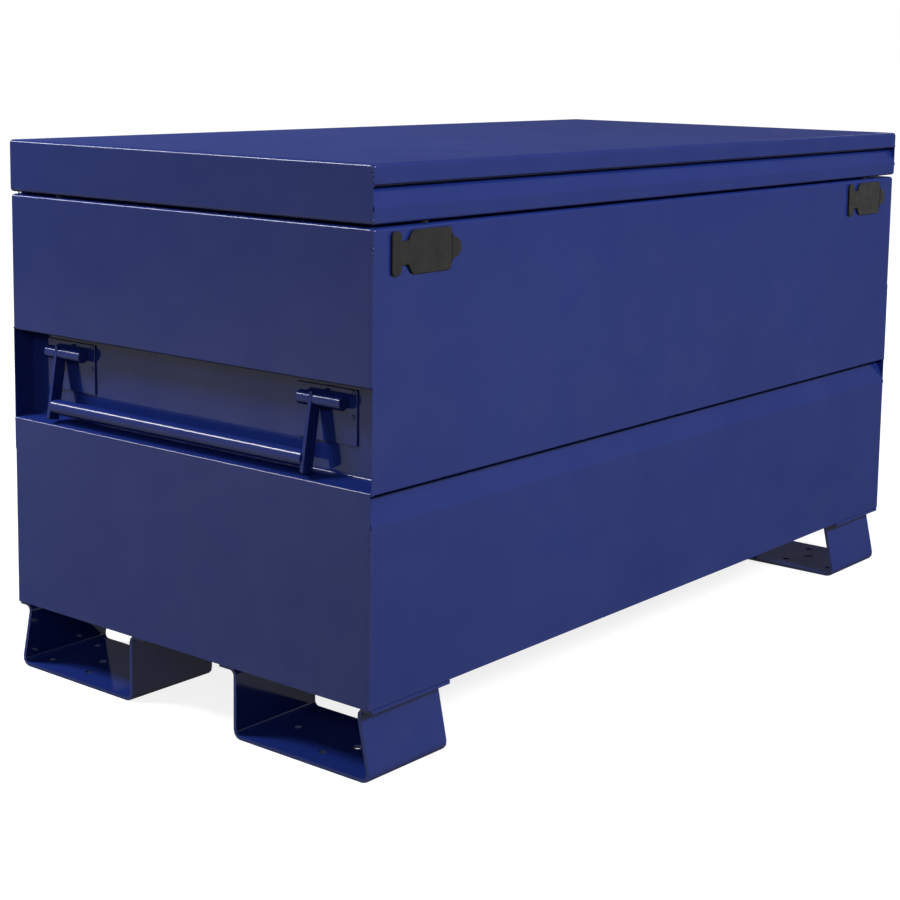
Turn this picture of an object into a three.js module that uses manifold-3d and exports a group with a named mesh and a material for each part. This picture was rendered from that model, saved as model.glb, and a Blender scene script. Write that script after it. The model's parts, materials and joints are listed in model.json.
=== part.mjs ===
// Jobsite storage box: a chest of folded steel sheet on four feet, with a hinged lid,
// a drop handle in a pocket at each end, and two lock ports behind rubber covers.
// Millimetres, +Z up, the front faces -Y. The origin is on the floor under the middle of the box.
import * as THREE from "three";
import { mergeVertices } from "three/addons/utils/BufferGeometryUtils.js";
import Module from "manifold-3d";

const wasm = await Module();
wasm.setup();

// Overall sizes of the body and the lid
const bodyLength = 1219.2;
const bodyDepth = 609.6;
const bodyHeight = 528;
const footHeight = 86;
const lidHeight = 65;
const lidGap = 3;
const lidOverhang = 1.5;

// Sheet, bends and clearances
const sheet = 1.5;
const bendInside = 1.5;
const seam = 0.3;
const overrun = 2;
const bendSteps = 3;
const roundSides = 16;

// Rims round the mouth of the body
const frontRimWidth = 46;
const rearRimWidth = 32;
const endRimWidth = 32;
const rimLip = 12;

// Groove along the front and the rear
const grooveBelowTop = 289;
const grooveDepth = 16;
const grooveHeight = 34;

// Handle pocket in each end
const pocketDepth = 30;
const pocketHeight = 113;
const pocketFloorRise = 9;

// Floor pan
const panFlange = 25;

// Feet: a plate bent into a hat, its outer leg leaning out
const footLength = 134;
const footInset = 5;
const footSheet = 4.5;
const footBend = 6;
const footOuterFlange = 19;
const footLean = 18;
const footWidth = 215;
const footInnerFlange = 24;
const casterSpacing = 75;
const casterHoleRadius = 5.5;
const casterHolesFromOuter = 62;
const largeHoleRadius = 6.5;
const largeHoleFromOuter = 80;
const lastHoleFromInner = 40;

// Handles: a bar between two flat arms that hang on pivots welded to plates
const armFromFront = 101.8;
const armFromRear = 69.8;
const armWidth = 16;
const armThickness = 5;
const armTopCorner = 8;
const pivotInFromFace = 19.5;
const pivotBelowPocketTop = 25;
const barInFromFace = 8;
const barBelowPivot = 68;
const barRadius = 10;
const pivotRadius = 8;
const pivotNeckRadius = 5;
const pivotLongEnd = 41;
const pivotShortEnd = 20;
const platePast = 12;
const plateAbovePivot = 15;
const plateHeight = 63;
const armCorner = 4;

// Lock ports, their covers, housings, staples and hasps
const coverLength = 122;
const coverHeight = 48;
const coverThickness = 3.5;
const coverMargin = 28;
const coverBelowTop = 5;
const coverStrip = 17.5;
const coverCorner = 7;
const coverSwingGap = 1.2;
const coverNeck = 23;
const coverNeckHeight = 26;
const coverSlopeFrom = 30;
const coverPanelFrom = 38.8;
const coverPanelTo = 102;
const coverTabFrom = 107;
const coverTabHeight = 26;
const coverTabCorner = 6;
const portWidth = 52;
const portHeight = 34;
const housingMargin = 6;
const housingDepth = 40;
const haspWidth = 28;
const haspThickness = 4;
const haspIn = 26;
const haspFoot = 18;
const haspPast = 12;
const haspClearance = 3;
const stapleSpace = 5;
const eyeRadius = 6.5;

// Lid
const lidBand = 23;
const lidShelf = 12;
const lidSlope = 24;
const lidReturn = 22;
const stiffenerCount = 3;
const stiffenerPitch = 340;
const stiffenerHeight = 18;
const stiffenerCrown = 40;
const stiffenerBrim = 18;
const bumperRadius = 8;
const bumperFromEnd = 90;
const bumperIn = 10;

// Hinge along the rear
const hingeLength = 1180;
const knuckleCount = 23;
const knuckleRadius = 5;
const hingePinRadius = 2.5;
const hingeLeaf = 2;
const hingeLeafHeight = 26;
const knuckleGap = 0.6;

// Gas struts that hold the lid up: pivots measured from the hinge line
const strutFromEnd = 52;
const strutBodyForward = 80;
const strutBodyDown = 70;
const strutLidForward = 250;
const strutLidUp = 50;
const strutTubeRadius = 9;
const strutTubeWall = 4.6;
const strutRodRadius = 4;
const strutEyeRadius = 9;
const strutEyeThickness = 12;
const strutTubeLength = 158;
const strutTubeEnd = 16;
const strutRodLength = 176;
const studRadius = 5;
const bracketThickness = 3;
const bracketSize = 40;
const bracketLow = 14;

// Levels and faces that follow from these sizes
const bodyBottom = footHeight;
const bodyTop = bodyBottom + bodyHeight;
const skirtBottom = bodyTop + lidGap;
const lidTop = skirtBottom + lidHeight;
const endFace = bodyLength / 2;
const sideFace = bodyDepth / 2;
const grooveTop = bodyTop - grooveBelowTop;
const grooveBottom = grooveTop - grooveHeight;
const pocketLip = grooveTop + 2 * sheet + 2 * seam;
const pocketTop = pocketLip + pocketHeight;
const inside = sheet + seam;
const hingeY = sideFace + seam + knuckleRadius;
const hingeZ = bodyTop + lidGap / 2;

// Finishes
const enamel = { color: 0x323a76, roughness: 0.28, metalness: 0.1 };
const rubber = { color: 0x343331, roughness: 0.75, metalness: 0 };
const zinc = { color: 0x9a9c9e, roughness: 0.4, metalness: 0.9 };
const blackSteel = { color: 0x1c1c1e, roughness: 0.45, metalness: 0.3 };
const chrome = { color: 0xc8cacc, roughness: 0.12, metalness: 1 };

// Extrudes a section drawn in (y, z) along X.
function alongX(shape, from, to) {
  const turn = new THREE.Matrix4().makeBasis(
    new THREE.Vector3(0, 1, 0),
    new THREE.Vector3(0, 0, 1),
    new THREE.Vector3(1, 0, 0),
  );
  return extrude(shape, to - from).applyMatrix4(turn).translate(from, 0, 0);
}

// Extrudes a section drawn in (x, z) along Y.
function alongY(shape, from, to) {
  const turn = new THREE.Matrix4().makeBasis(
    new THREE.Vector3(1, 0, 0),
    new THREE.Vector3(0, 0, 1),
    new THREE.Vector3(0, -1, 0),
  );
  return extrude(shape, to - from).applyMatrix4(turn).translate(0, to, 0);
}

function extrude(shape, depth) {
  return new THREE.ExtrudeGeometry(shape, { depth, bevelEnabled: false, curveSegments: bendSteps });
}

// Two coordinates as a span, the lower one first.
function ordered(a, b) {
  return [Math.min(a, b), Math.max(a, b)];
}

// A box between two corners.
function block([x0, x1], [y0, y1], [z0, z1]) {
  return new THREE.BoxGeometry(x1 - x0, y1 - y0, z1 - z0)
    .translate((x0 + x1) / 2, (y0 + y1) / 2, (z0 + z1) / 2);
}

// Round bars along each axis; the pair gives the other two coordinates in X, Y, Z order.
function barX(radius, [from, to], [y, z]) {
  return new THREE.CylinderGeometry(radius, radius, to - from, roundSides)
    .rotateZ(Math.PI / 2).translate((from + to) / 2, y, z);
}

function barY(radius, [from, to], [x, z]) {
  return new THREE.CylinderGeometry(radius, radius, to - from, roundSides)
    .translate(x, (from + to) / 2, z);
}

function barZ(radius, [from, to], [x, y]) {
  return new THREE.CylinderGeometry(radius, radius, to - from, roundSides)
    .rotateX(Math.PI / 2).translate(x, y, (from + to) / 2);
}

// A closed geometry as a solid for joining and cutting, and back again.
function toSolid(geometry) {
  const bare = geometry.clone();
  bare.deleteAttribute("normal");
  bare.deleteAttribute("uv");
  const merged = mergeVertices(bare);
  return new wasm.Manifold(new wasm.Mesh({
    numProp: 3,
    vertProperties: merged.getAttribute("position").array,
    triVerts: new Uint32Array(merged.index.array),
  }));
}

function toGeometry(solid) {
  const { vertProperties, triVerts } = solid.getMesh();
  const geometry = new THREE.BufferGeometry();
  geometry.setAttribute("position", new THREE.BufferAttribute(vertProperties, 3));
  geometry.setIndex(new THREE.BufferAttribute(triVerts, 1));
  geometry.computeVertexNormals();
  return geometry;
}

function cut(body, ...tools) {
  return toGeometry(tools.reduce((rest, tool) => rest.subtract(toSolid(tool)), toSolid(body)));
}

function join(...pieces) {
  return toGeometry(pieces.map(toSolid).reduce((whole, piece) => whole.add(piece)));
}

// The section of a folded sheet. The path runs along one face of the sheet and the
// thickness lies to the left of it; every bend has the same inside radius.
function foldedSheet(path, thickness = sheet, insideRadius = bendInside) {
  const corners = path.map(([u, v]) => new THREE.Vector2(u, v));
  const headings = corners.slice(1).map((end, i) => end.clone().sub(corners[i]).normalize());
  const left = headings.map((heading) => new THREE.Vector2(-heading.y, heading.x));
  const face = [corners[0]];
  const back = [corners[0].clone().addScaledVector(left[0], thickness)];
  for (let i = 1; i < headings.length; i++) {
    const side = Math.sign(headings[i - 1].cross(headings[i]));
    const faceRadius = side > 0 ? insideRadius + thickness : insideRadius;
    const backRadius = side > 0 ? insideRadius : insideRadius + thickness;
    const reach = side * faceRadius / (1 + left[i - 1].dot(left[i]));
    const centre = left[i - 1].clone().add(left[i]).multiplyScalar(reach).add(corners[i]);
    const start = left[i - 1].clone().multiplyScalar(-side).angle();
    const sweep = side * Math.acos(headings[i - 1].dot(headings[i]));
    for (let step = 0; step <= bendSteps; step++) {
      const angle = start + sweep * step / bendSteps;
      const ray = new THREE.Vector2(Math.cos(angle), Math.sin(angle));
      face.push(centre.clone().addScaledVector(ray, faceRadius));
      back.push(centre.clone().addScaledVector(ray, backRadius));
    }
  }
  const end = corners.at(-1);
  face.push(end);
  back.push(end.clone().addScaledVector(left.at(-1), thickness));
  return new THREE.Shape([...face, ...back.reverse()]);
}

const box = new THREE.Group();

function place(name, geometry, finish, parent = box) {
  const mesh = new THREE.Mesh(geometry, new THREE.MeshStandardMaterial(finish));
  mesh.name = name;
  parent.add(mesh);
}

// Lock ports: the middle of each port along X, and its level
const coverTop = bodyTop - coverBelowTop;
const coverMiddle = coverTop - coverHeight / 2;
const portFromCover = (coverSlopeFrom + coverPanelTo) / 2;
const leftCoverStart = -endFace + coverMargin;
const rightCoverStart = endFace - coverMargin - coverLength;
const locks = [
  { side: "left", start: leftCoverStart, middle: leftCoverStart + portFromCover },
  { side: "right", start: rightCoverStart, middle: rightCoverStart + portFromCover },
];
const haspFace = -sideFace + haspIn;
const stapleFace = haspFace + haspThickness + stapleSpace;

// Front and rear panels, folded to one section: rim, wall, groove, wall
function sideWall(rimWidth) {
  const path = [
    [rimWidth, bodyTop - rimLip], [rimWidth, bodyTop], [0, bodyTop],
    [0, grooveTop], [grooveDepth, grooveTop], [0, grooveBottom], [0, bodyBottom],
  ];
  const section = foldedSheet(path.map(([u, v]) => [u - sideFace, v]));
  const tools = [-1, 1].flatMap((side) => {
    const span = ordered(side * (endFace + overrun), side * (endFace - inside));
    return [
      block(span, [sheet - sideFace, rimWidth + overrun - sideFace],
        [bodyBottom - overrun, bodyTop + overrun]),
      block(span, [-sideFace - overrun, grooveDepth + sheet + overrun - sideFace],
        [grooveBottom - seam, grooveTop + seam]),
    ];
  });
  return cut(alongX(section, -endFace, endFace), ...tools);
}

const haspSlots = locks.flatMap(({ middle }) => [
  block([middle - portWidth / 2, middle + portWidth / 2],
    [-sideFace - overrun, sheet + overrun - sideFace],
    [coverMiddle - portHeight / 2, coverMiddle + portHeight / 2]),
  block([middle - haspWidth / 2 - haspClearance, middle + haspWidth / 2 + haspClearance],
    [haspFace - haspClearance, haspFace + haspThickness + haspClearance],
    [bodyTop - sheet - overrun, bodyTop + overrun]),
]);
place("front_panel", cut(sideWall(frontRimWidth), ...haspSlots), enamel);

const rear = new THREE.Group();
rear.rotation.z = Math.PI;
box.add(rear);
place("rear_panel", sideWall(rearRimWidth), enamel, rear);

// End panel: rim, wall, handle pocket, wall; ears close the ends of the grooves
function endPanel() {
  const path = [
    [endRimWidth, bodyTop - rimLip], [endRimWidth, bodyTop], [0, bodyTop], [0, pocketTop],
    [pocketDepth, pocketTop], [pocketDepth, pocketLip + pocketFloorRise], [0, pocketLip],
    [0, bodyBottom],
  ];
  const section = foldedSheet(path.map(([u, v]) => [u - endFace, v]));
  const wall = alongY(section, inside - sideFace, sideFace - inside);
  const rimSpan = [sheet - endFace, endRimWidth + overrun - endFace];
  const rimLevels = [bodyTop - rimLip - bendInside - sheet, bodyTop + overrun];
  const corners = (frontRim, rearRim) => [
    block(rimSpan, [-sideFace, frontRim + seam - sideFace], rimLevels),
    block(rimSpan, [sideFace - rearRim - seam, sideFace], rimLevels),
  ];
  const ears = [-1, 1].map((side) => block([-endFace, sheet - endFace],
    ordered(side * sideFace, side * (sideFace - inside - overrun)), [grooveBottom, grooveTop]));
  const eared = join(wall, ...ears);
  return (frontRim, rearRim) => cut(eared, ...corners(frontRim, rearRim));
}

const makeEnd = endPanel();

// The two ends are alike, one turned half round the box's upright axis
const ends = ["left", "right"].map((side) => {
  const group = new THREE.Group();
  group.rotation.z = side === "left" ? 0 : Math.PI;
  box.add(group);
  return { side, group };
});
for (const { side, group } of ends) {
  const rims = side === "left" ? [frontRimWidth, rearRimWidth] : [rearRimWidth, frontRimWidth];
  place("end_panel_" + side, makeEnd(...rims), enamel, group);
}

// Floor pan, turned up inside the front and rear panels
const panHalf = sideFace - inside;
const panPath = [
  [-panHalf, bodyBottom + panFlange], [-panHalf, bodyBottom],
  [panHalf, bodyBottom], [panHalf, bodyBottom + panFlange],
];
place("floor_pan", alongX(foldedSheet(panPath), inside - endFace, endFace - inside), enamel);

// Feet
const footTop = bodyBottom - seam;
const footPath = [
  [0, footTop - footSheet], [footOuterFlange, footTop - footSheet],
  [footOuterFlange - footLean, 0], [footOuterFlange - footLean + footWidth, 0],
  [footOuterFlange - footLean + footWidth, footTop - footSheet],
  [footOuterFlange - footLean + footWidth + footInnerFlange, footTop - footSheet],
];
const footSection = foldedSheet(footPath.map(([u, v]) => [u - sideFace, v]), footSheet, footBend);
const footOuter = footOuterFlange - footLean - sideFace;
const footHole = (radius, x, fromOuter) =>
  barZ(radius, [-overrun, footSheet + overrun], [x, footOuter + fromOuter]);
const footHoles = [
  ...[-1, 1].flatMap((across) => [0, 1].map((row) =>
    footHole(casterHoleRadius, across * casterSpacing / 2,
      casterHolesFromOuter - casterSpacing / 2 + row * casterSpacing))),
  footHole(largeHoleRadius, 0, largeHoleFromOuter),
  footHole(casterHoleRadius, 0, footWidth - lastHoleFromInner),
];
const footX = endFace - footInset - footLength / 2;
for (const [depthName, turned] of [["front", false], ["rear", true]]) {
  const group = new THREE.Group();
  group.rotation.z = turned ? Math.PI : 0;
  box.add(group);
  for (const [side, sign] of [["left", -1], ["right", 1]]) {
    const foot = cut(alongX(footSection, -footLength / 2, footLength / 2), ...footHoles);
    const x = (turned ? -sign : sign) * footX;
    place("foot_" + depthName + "_" + side, foot.translate(x, 0, 0), enamel, group);
  }
}

// Handle of the left end, in the box's own place; the right one is turned with its end panel
const pivotX = pivotInFromFace - endFace;
const pivotZ = pocketTop - pivotBelowPocketTop;
const barOutFromPivot = pivotInFromFace - barInFromFace;
const armAtFront = armFromFront - sideFace;
const armAtRear = sideFace - armFromRear;
const armReach = Math.hypot(barOutFromPivot, barBelowPivot);
const armTilt = Math.atan2(barOutFromPivot, barBelowPivot);
const plateFace = pocketDepth - seam;
const plateSheet = plateFace - pivotInFromFace - pivotRadius - seam;

// The arm's tail stops just short of the pocket's sloping floor, on which it rests.
function armTail() {
  const floor = Math.atan2(pocketFloorRise, pocketDepth);
  const normal = new THREE.Vector2(-Math.sin(floor), Math.cos(floor));
  const down = new THREE.Vector2(-Math.sin(armTilt), -Math.cos(armTilt));
  const inner = new THREE.Vector2(Math.cos(armTilt), -Math.sin(armTilt));
  const corner = new THREE.Vector2(pivotInFromFace, pivotZ - pocketLip)
    .addScaledVector(down, armReach)
    .addScaledVector(inner, armWidth / 2);
  return (normal.dot(corner) - seam) / -normal.dot(down);
}

// The arm hangs straight down here, its outer edge at -X, its pivot at the origin.
function armShape() {
  const half = armWidth / 2;
  const cornerFar = Math.hypot(half, armTopCorner);
  const cornerAngle = Math.atan2(armTopCorner, -half);
  const tangent = cornerAngle - Math.acos(half / cornerFar);
  const low = -armReach - armTail();
  const shape = new THREE.Shape();
  shape.moveTo(half, low);
  shape.lineTo(half, 0);
  shape.absarc(0, 0, half, 0, tangent, false);
  shape.lineTo(-half, armTopCorner);
  shape.lineTo(-half, low + armCorner);
  shape.quadraticCurveTo(-half, low, armCorner - half, low);
  return shape;
}

const handlePlaces = [["front", armAtFront], ["rear", armAtRear]];
for (const { side, group } of ends) {
  const swing = new THREE.Group();
  swing.position.set(pivotX, 0, pivotZ);
  swing.rotation.y = armTilt;
  group.add(swing);
  for (const [where, at] of handlePlaces) {
    // On the right the half turn swaps front and rear.
    const standsAt = (side === "left") === (where === "front") ? "front" : "rear";
    const name = "handle_" + side + "_" + standsAt;
    const faces = [at - armThickness / 2, at + armThickness / 2];
    const arm = cut(alongY(armShape(), ...faces),
      barY(pivotNeckRadius + seam, [faces[0] - overrun, faces[1] + overrun], [0, 0]));
    place(name + "_arm", arm, enamel, swing);
    const stubs = [faces[0] - seam - pivotLongEnd, faces[1] + seam + pivotShortEnd];
    const pivot = join(
      barY(pivotRadius, [stubs[0], faces[0] - seam], [pivotX, pivotZ]),
      barY(pivotRadius, [faces[1] + seam, stubs[1]], [pivotX, pivotZ]),
      barY(pivotNeckRadius, [stubs[0] + overrun, stubs[1] - overrun], [pivotX, pivotZ]),
    );
    place(name + "_pivot", pivot, enamel, group);
    const plate = block([plateFace - plateSheet - endFace, plateFace - endFace],
      [stubs[0] - platePast, stubs[1] + platePast],
      [pivotZ + plateAbovePivot - plateHeight, pivotZ + plateAbovePivot]);
    place(name + "_plate", plate, enamel, group);
  }
  const barSpan = [armAtFront + armThickness / 2 + seam, armAtRear - armThickness / 2 - seam];
  place("handle_" + side + "_bar", barY(barRadius, barSpan, [0, -armReach]), enamel, swing);
}

// Lock housings, staples and hasps
const housingTop = bodyTop - sheet - bendInside;
const housingFloor = coverMiddle - portHeight / 2 - housingMargin;
const housingHalf = portWidth / 2 + housingMargin;
const housingFront = inside - sideFace;
const haspTip = coverMiddle - haspPast;
const haspShelf = skirtBottom + sheet + seam;
for (const { side, middle } of locks) {
  const housing = cut(
    block([middle - housingHalf, middle + housingHalf],
      [housingFront, housingFront + housingDepth], [housingFloor, housingTop]),
    block([middle - housingHalf + sheet, middle + housingHalf - sheet],
      [housingFront - overrun, housingFront + housingDepth - sheet],
      [housingFloor + sheet, housingTop + overrun]),
  );
  place("lock_housing_" + side, housing, enamel);

  const width = [middle - haspWidth / 2, middle + haspWidth / 2];
  const eye = (faces) => barY(eyeRadius, [faces[0] - overrun, faces[1] + overrun],
    [middle, coverMiddle]);
  const stapleFaces = [stapleFace, stapleFace + haspThickness];
  const staple = cut(
    block(width, stapleFaces, [housingFloor + sheet + seam, coverMiddle + haspPast]),
    eye(stapleFaces),
  );
  place("lock_staple_" + side, staple, enamel);

  const haspPath = [
    [haspFace + haspThickness, haspTip], [haspFace + haspThickness, haspShelf + haspThickness],
    [haspFace + haspThickness - haspFoot, haspShelf + haspThickness],
  ];
  const hasp = cut(alongX(foldedSheet(haspPath, haspThickness, bendInside), ...width),
    eye([haspFace, haspFace + haspThickness]));
  place("lid_hasp_" + side, hasp, enamel);
}

// Rubber lock covers: a fixed strip, a thin neck to bend at, and a flap with a pull tab
const coverBack = -sideFace - seam;
const coverFront = coverBack - coverThickness;
const coverHinge = coverThickness / 2;

function mirroredShape(upper) {
  const lower = upper.map(([u, v]) => [u, -v]).reverse();
  return new THREE.Shape([...upper, ...lower].map(([u, v]) => new THREE.Vector2(u, v)));
}

// The points of a quarter round about a centre.
function quarterRound([u, v], radius, start) {
  return Array.from({ length: bendSteps + 1 }, (_, step) => {
    const angle = start + Math.PI / 2 * step / bendSteps;
    return [u + radius * Math.cos(angle), v + radius * Math.sin(angle)];
  });
}

for (const { side, start } of locks) {
  const group = new THREE.Group();
  group.position.set(start, 0, coverMiddle);
  box.add(group);
  const half = coverHeight / 2;
  const neck = coverNeckHeight / 2;
  const stripEnd = coverNeck - coverHinge - coverSwingGap;
  const strip = mirroredShape([
    [stripEnd, neck], [coverStrip, neck],
    ...quarterRound([coverStrip - coverCorner, half - coverCorner], coverCorner, 0),
    ...quarterRound([coverCorner, half - coverCorner], coverCorner, Math.PI / 2),
  ]);
  place("lock_cover_" + side + "_strip", alongY(strip, coverFront, coverBack), rubber, group);

  const tab = coverTabHeight / 2;
  const tabRound = [coverLength - coverTabCorner, tab - coverTabCorner];
  const flap = mirroredShape([
    ...quarterRound(tabRound, coverTabCorner, 0), [coverTabFrom, tab], [coverPanelTo, half],
    [coverPanelFrom, half], [coverSlopeFrom, neck], [coverNeck, neck],
  ]);
  place("lock_cover_" + side + "_flap", join(
    alongY(flap, coverFront, coverBack),
    barZ(coverHinge, [-neck, neck], [coverNeck, coverBack - coverHinge]),
  ), rubber, group);
}

// Lid: one folded sheet across the box between two end plates
const lidFront = -sideFace - lidOverhang;
const lidEnd = endFace + lidOverhang;
const lidPath = [
  [sideFace - lidReturn, skirtBottom], [sideFace, skirtBottom], [sideFace, lidTop],
  [lidFront, lidTop], [lidFront, lidTop - lidBand], [lidFront + lidShelf, lidTop - lidBand],
  [lidFront, lidTop - lidBand - lidSlope], [lidFront, skirtBottom],
  [lidFront + lidReturn, skirtBottom],
];
place("lid_panel", alongX(foldedSheet(lidPath), inside - lidEnd, lidEnd - inside), enamel);

const lidEndPath = [[0, lidTop], [0, skirtBottom], [lidReturn, skirtBottom]];
function lidEndPlate(frontY, rearY) {
  const plate = alongY(foldedSheet(lidEndPath.map(([u, v]) => [u - lidEnd, v])), frontY, rearY);
  const span = [sheet - lidEnd, lidReturn + overrun - lidEnd];
  const levels = [skirtBottom - overrun, skirtBottom + sheet + bendInside];
  return cut(plate,
    block(span, [frontY - overrun, frontY + lidReturn + seam], levels),
    block(span, [rearY - lidReturn - seam, rearY + overrun], levels));
}
for (const { side, group } of ends) {
  const [frontY, rearY] = side === "left" ? [lidFront, sideFace] : [-sideFace, -lidFront];
  place("lid_end_" + side, lidEndPlate(frontY, rearY), enamel, group);
}

// Hat channels that stiffen the lid from below
const hatTop = lidTop - sheet - seam;
const hatPath = [
  [stiffenerCrown / 2 + stiffenerBrim, hatTop], [stiffenerCrown / 2, hatTop],
  [stiffenerCrown / 2, hatTop - stiffenerHeight],
  [-stiffenerCrown / 2, hatTop - stiffenerHeight], [-stiffenerCrown / 2, hatTop],
  [-stiffenerCrown / 2 - stiffenerBrim, hatTop],
];
const hatSpan = [lidFront + lidShelf + 2 * sheet + bendInside, sideFace - 2 * sheet - bendInside];
for (let i = 0; i < stiffenerCount; i++) {
  const x = (i - (stiffenerCount - 1) / 2) * stiffenerPitch;
  const hat = alongY(foldedSheet(hatPath), ...hatSpan).translate(x, 0, 0);
  place("lid_stiffener_" + (i + 1), hat, enamel);
}

// Rubber bumpers on the rim, under the lid
const bumperSpan = [bodyTop + seam, skirtBottom - seam];
for (const [side, sign] of [["left", -1], ["right", 1]]) {
  place("lid_bumper_front_" + side, barZ(bumperRadius, bumperSpan,
    [sign * (endFace - bumperFromEnd), bumperIn - sideFace]), rubber);
  place("lid_bumper_rear_" + side, barZ(bumperRadius, bumperSpan,
    [sign * (endFace - bumperIn), sideFace - bumperFromEnd]), rubber);
}

// Continuous hinge: leaves on the rear panel and the lid, knuckles in turn on one pin
const knucklePitch = hingeLength / knuckleCount;
const leafFaces = [sideFace + seam, sideFace + seam + hingeLeaf];

function hingeLeafPiece(first, direction) {
  const clear = knuckleRadius + seam;
  const near = hingeZ + direction * clear;
  const far = hingeZ + direction * hingeLeafHeight;
  const pieces = [block([-hingeLength / 2, hingeLength / 2], leafFaces, ordered(near, far))];
  const bores = [];
  for (let i = first; i < knuckleCount; i += 2) {
    const from = -hingeLength / 2 + i * knucklePitch + knuckleGap / 2;
    const span = [from, from + knucklePitch - knuckleGap];
    pieces.push(block(span, leafFaces, ordered(hingeZ, near + direction * seam)));
    pieces.push(barX(knuckleRadius, span, [hingeY, hingeZ]));
    bores.push(barX(hingePinRadius + seam, [span[0] - overrun, span[1] + overrun],
      [hingeY, hingeZ]));
  }
  return cut(join(...pieces), ...bores);
}
place("hinge_leaf_body", hingeLeafPiece(0, -1), enamel);
place("hinge_leaf_lid", hingeLeafPiece(1, 1), enamel);
place("hinge_pin",
  barX(hingePinRadius, [-hingeLength / 2, hingeLength / 2], [hingeY, hingeZ]), zinc);

// Gas struts and their brackets, one at each end
const bodyStud = { y: hingeY - strutBodyForward, z: hingeZ - strutBodyDown };
const lidStud = { y: hingeY - strutLidForward, z: hingeZ + strutLidUp };
const strutLength = Math.hypot(lidStud.y - bodyStud.y, lidStud.z - bodyStud.z);
const strutTilt = Math.atan2(lidStud.z - bodyStud.z, lidStud.y - bodyStud.y);

for (const [side, sign] of [["left", -1], ["right", 1]]) {
  const strutX = sign * (endFace - strutFromEnd);
  const eyeNear = strutX + sign * strutEyeThickness / 2;
  const wallFace = sign * (endFace - inside);
  const bodyBase = ordered(wallFace, wallFace - sign * bracketThickness);
  place("strut_bracket_body_" + side, join(
    block(bodyBase, [bodyStud.y - bracketSize / 2, bodyStud.y + bracketSize / 2],
      [bodyStud.z - bracketSize / 2, bodyStud.z + bracketSize / 2]),
    barX(studRadius, ordered(wallFace - sign * bracketThickness / 2,
      strutX - sign * (strutEyeThickness / 2 + seam)), [bodyStud.y, bodyStud.z]),
  ), zinc);

  const lidFace = sign * (lidEnd - inside);
  const lidBase = ordered(lidFace, lidFace - sign * bracketThickness);
  place("strut_bracket_lid_" + side, join(
    block(lidBase, [lidStud.y - bracketSize / 2, lidStud.y + bracketSize / 2],
      [lidStud.z - bracketSize / 2, lidStud.z + bracketLow - seam]),
    barX(studRadius, ordered(lidFace - sign * bracketThickness / 2, eyeNear + sign * seam),
      [lidStud.y, lidStud.z]),
  ), zinc);

  // The strut lies along +Y from its body pivot here, then leans up to the lid's stud.
  const strut = new THREE.Group();
  strut.position.set(strutX, bodyStud.y, bodyStud.z);
  strut.rotation.x = strutTilt;
  box.add(strut);
  const eyeSpan = [-strutEyeThickness / 2, strutEyeThickness / 2];
  const boreSpan = [eyeSpan[0] - overrun, eyeSpan[1] + overrun];
  place("strut_cylinder_" + side, cut(
    join(barX(strutEyeRadius, eyeSpan, [0, 0]),
      barY(strutTubeRadius, [strutEyeRadius - overrun, strutTubeLength], [0, 0])),
    barX(studRadius + seam, boreSpan, [0, 0]),
    barY(strutTubeRadius - strutTubeWall, [strutEyeRadius + strutTubeEnd,
      strutTubeLength + overrun], [0, 0]),
  ), blackSteel, strut);
  place("strut_rod_" + side, cut(
    join(barX(strutEyeRadius, eyeSpan, [strutLength, 0]),
      barY(strutRodRadius, [strutLength - strutRodLength, strutLength - studRadius - overrun],
        [0, 0])),
    barX(studRadius + seam, boreSpan, [strutLength, 0]),
  ), chrome, strut);
}

// The whole box is shifted so that the origin is midway between the lock covers' outer
// faces and the hinge's knuckles.
const frontReach = -coverFront;
const rearReach = hingeY + knuckleRadius;
box.position.y = (frontReach - rearReach) / 2;

export default box;
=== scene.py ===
import json
import math
import random

import bmesh
import bpy
from mathutils import Matrix, Vector


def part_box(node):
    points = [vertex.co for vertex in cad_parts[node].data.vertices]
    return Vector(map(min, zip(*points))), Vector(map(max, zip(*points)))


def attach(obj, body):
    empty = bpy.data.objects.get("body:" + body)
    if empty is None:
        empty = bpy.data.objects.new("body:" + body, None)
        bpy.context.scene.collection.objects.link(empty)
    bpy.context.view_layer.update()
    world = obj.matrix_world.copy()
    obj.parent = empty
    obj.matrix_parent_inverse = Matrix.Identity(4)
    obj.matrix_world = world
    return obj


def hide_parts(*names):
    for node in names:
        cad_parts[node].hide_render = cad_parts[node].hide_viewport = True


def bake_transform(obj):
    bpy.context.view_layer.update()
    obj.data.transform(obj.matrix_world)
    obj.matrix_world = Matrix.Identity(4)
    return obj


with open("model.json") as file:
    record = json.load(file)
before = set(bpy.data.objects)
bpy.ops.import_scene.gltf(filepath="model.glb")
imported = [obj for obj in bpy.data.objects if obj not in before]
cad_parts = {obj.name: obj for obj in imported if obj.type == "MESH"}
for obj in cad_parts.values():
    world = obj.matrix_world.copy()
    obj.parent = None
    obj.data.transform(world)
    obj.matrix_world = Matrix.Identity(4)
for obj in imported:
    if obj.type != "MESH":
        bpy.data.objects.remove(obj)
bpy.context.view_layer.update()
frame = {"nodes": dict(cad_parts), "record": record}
scene = bpy.context.scene

# Camera, from a pinhole fit to the photograph's 900 x 900 frame
IMAGE_WIDTH = 900
SENSOR = 36
CAMERA_PLACE = Vector((-2.0439, -1.5806, 0.8029))
CAMERA_YAW = math.radians(50.855)
CAMERA_PITCH = math.radians(7.822)
CAMERA_ROLL = math.radians(0.813)
FOCAL_PIXELS = 1835.2
RISE_PIXELS = -150
CLIP_END = 200

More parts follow.
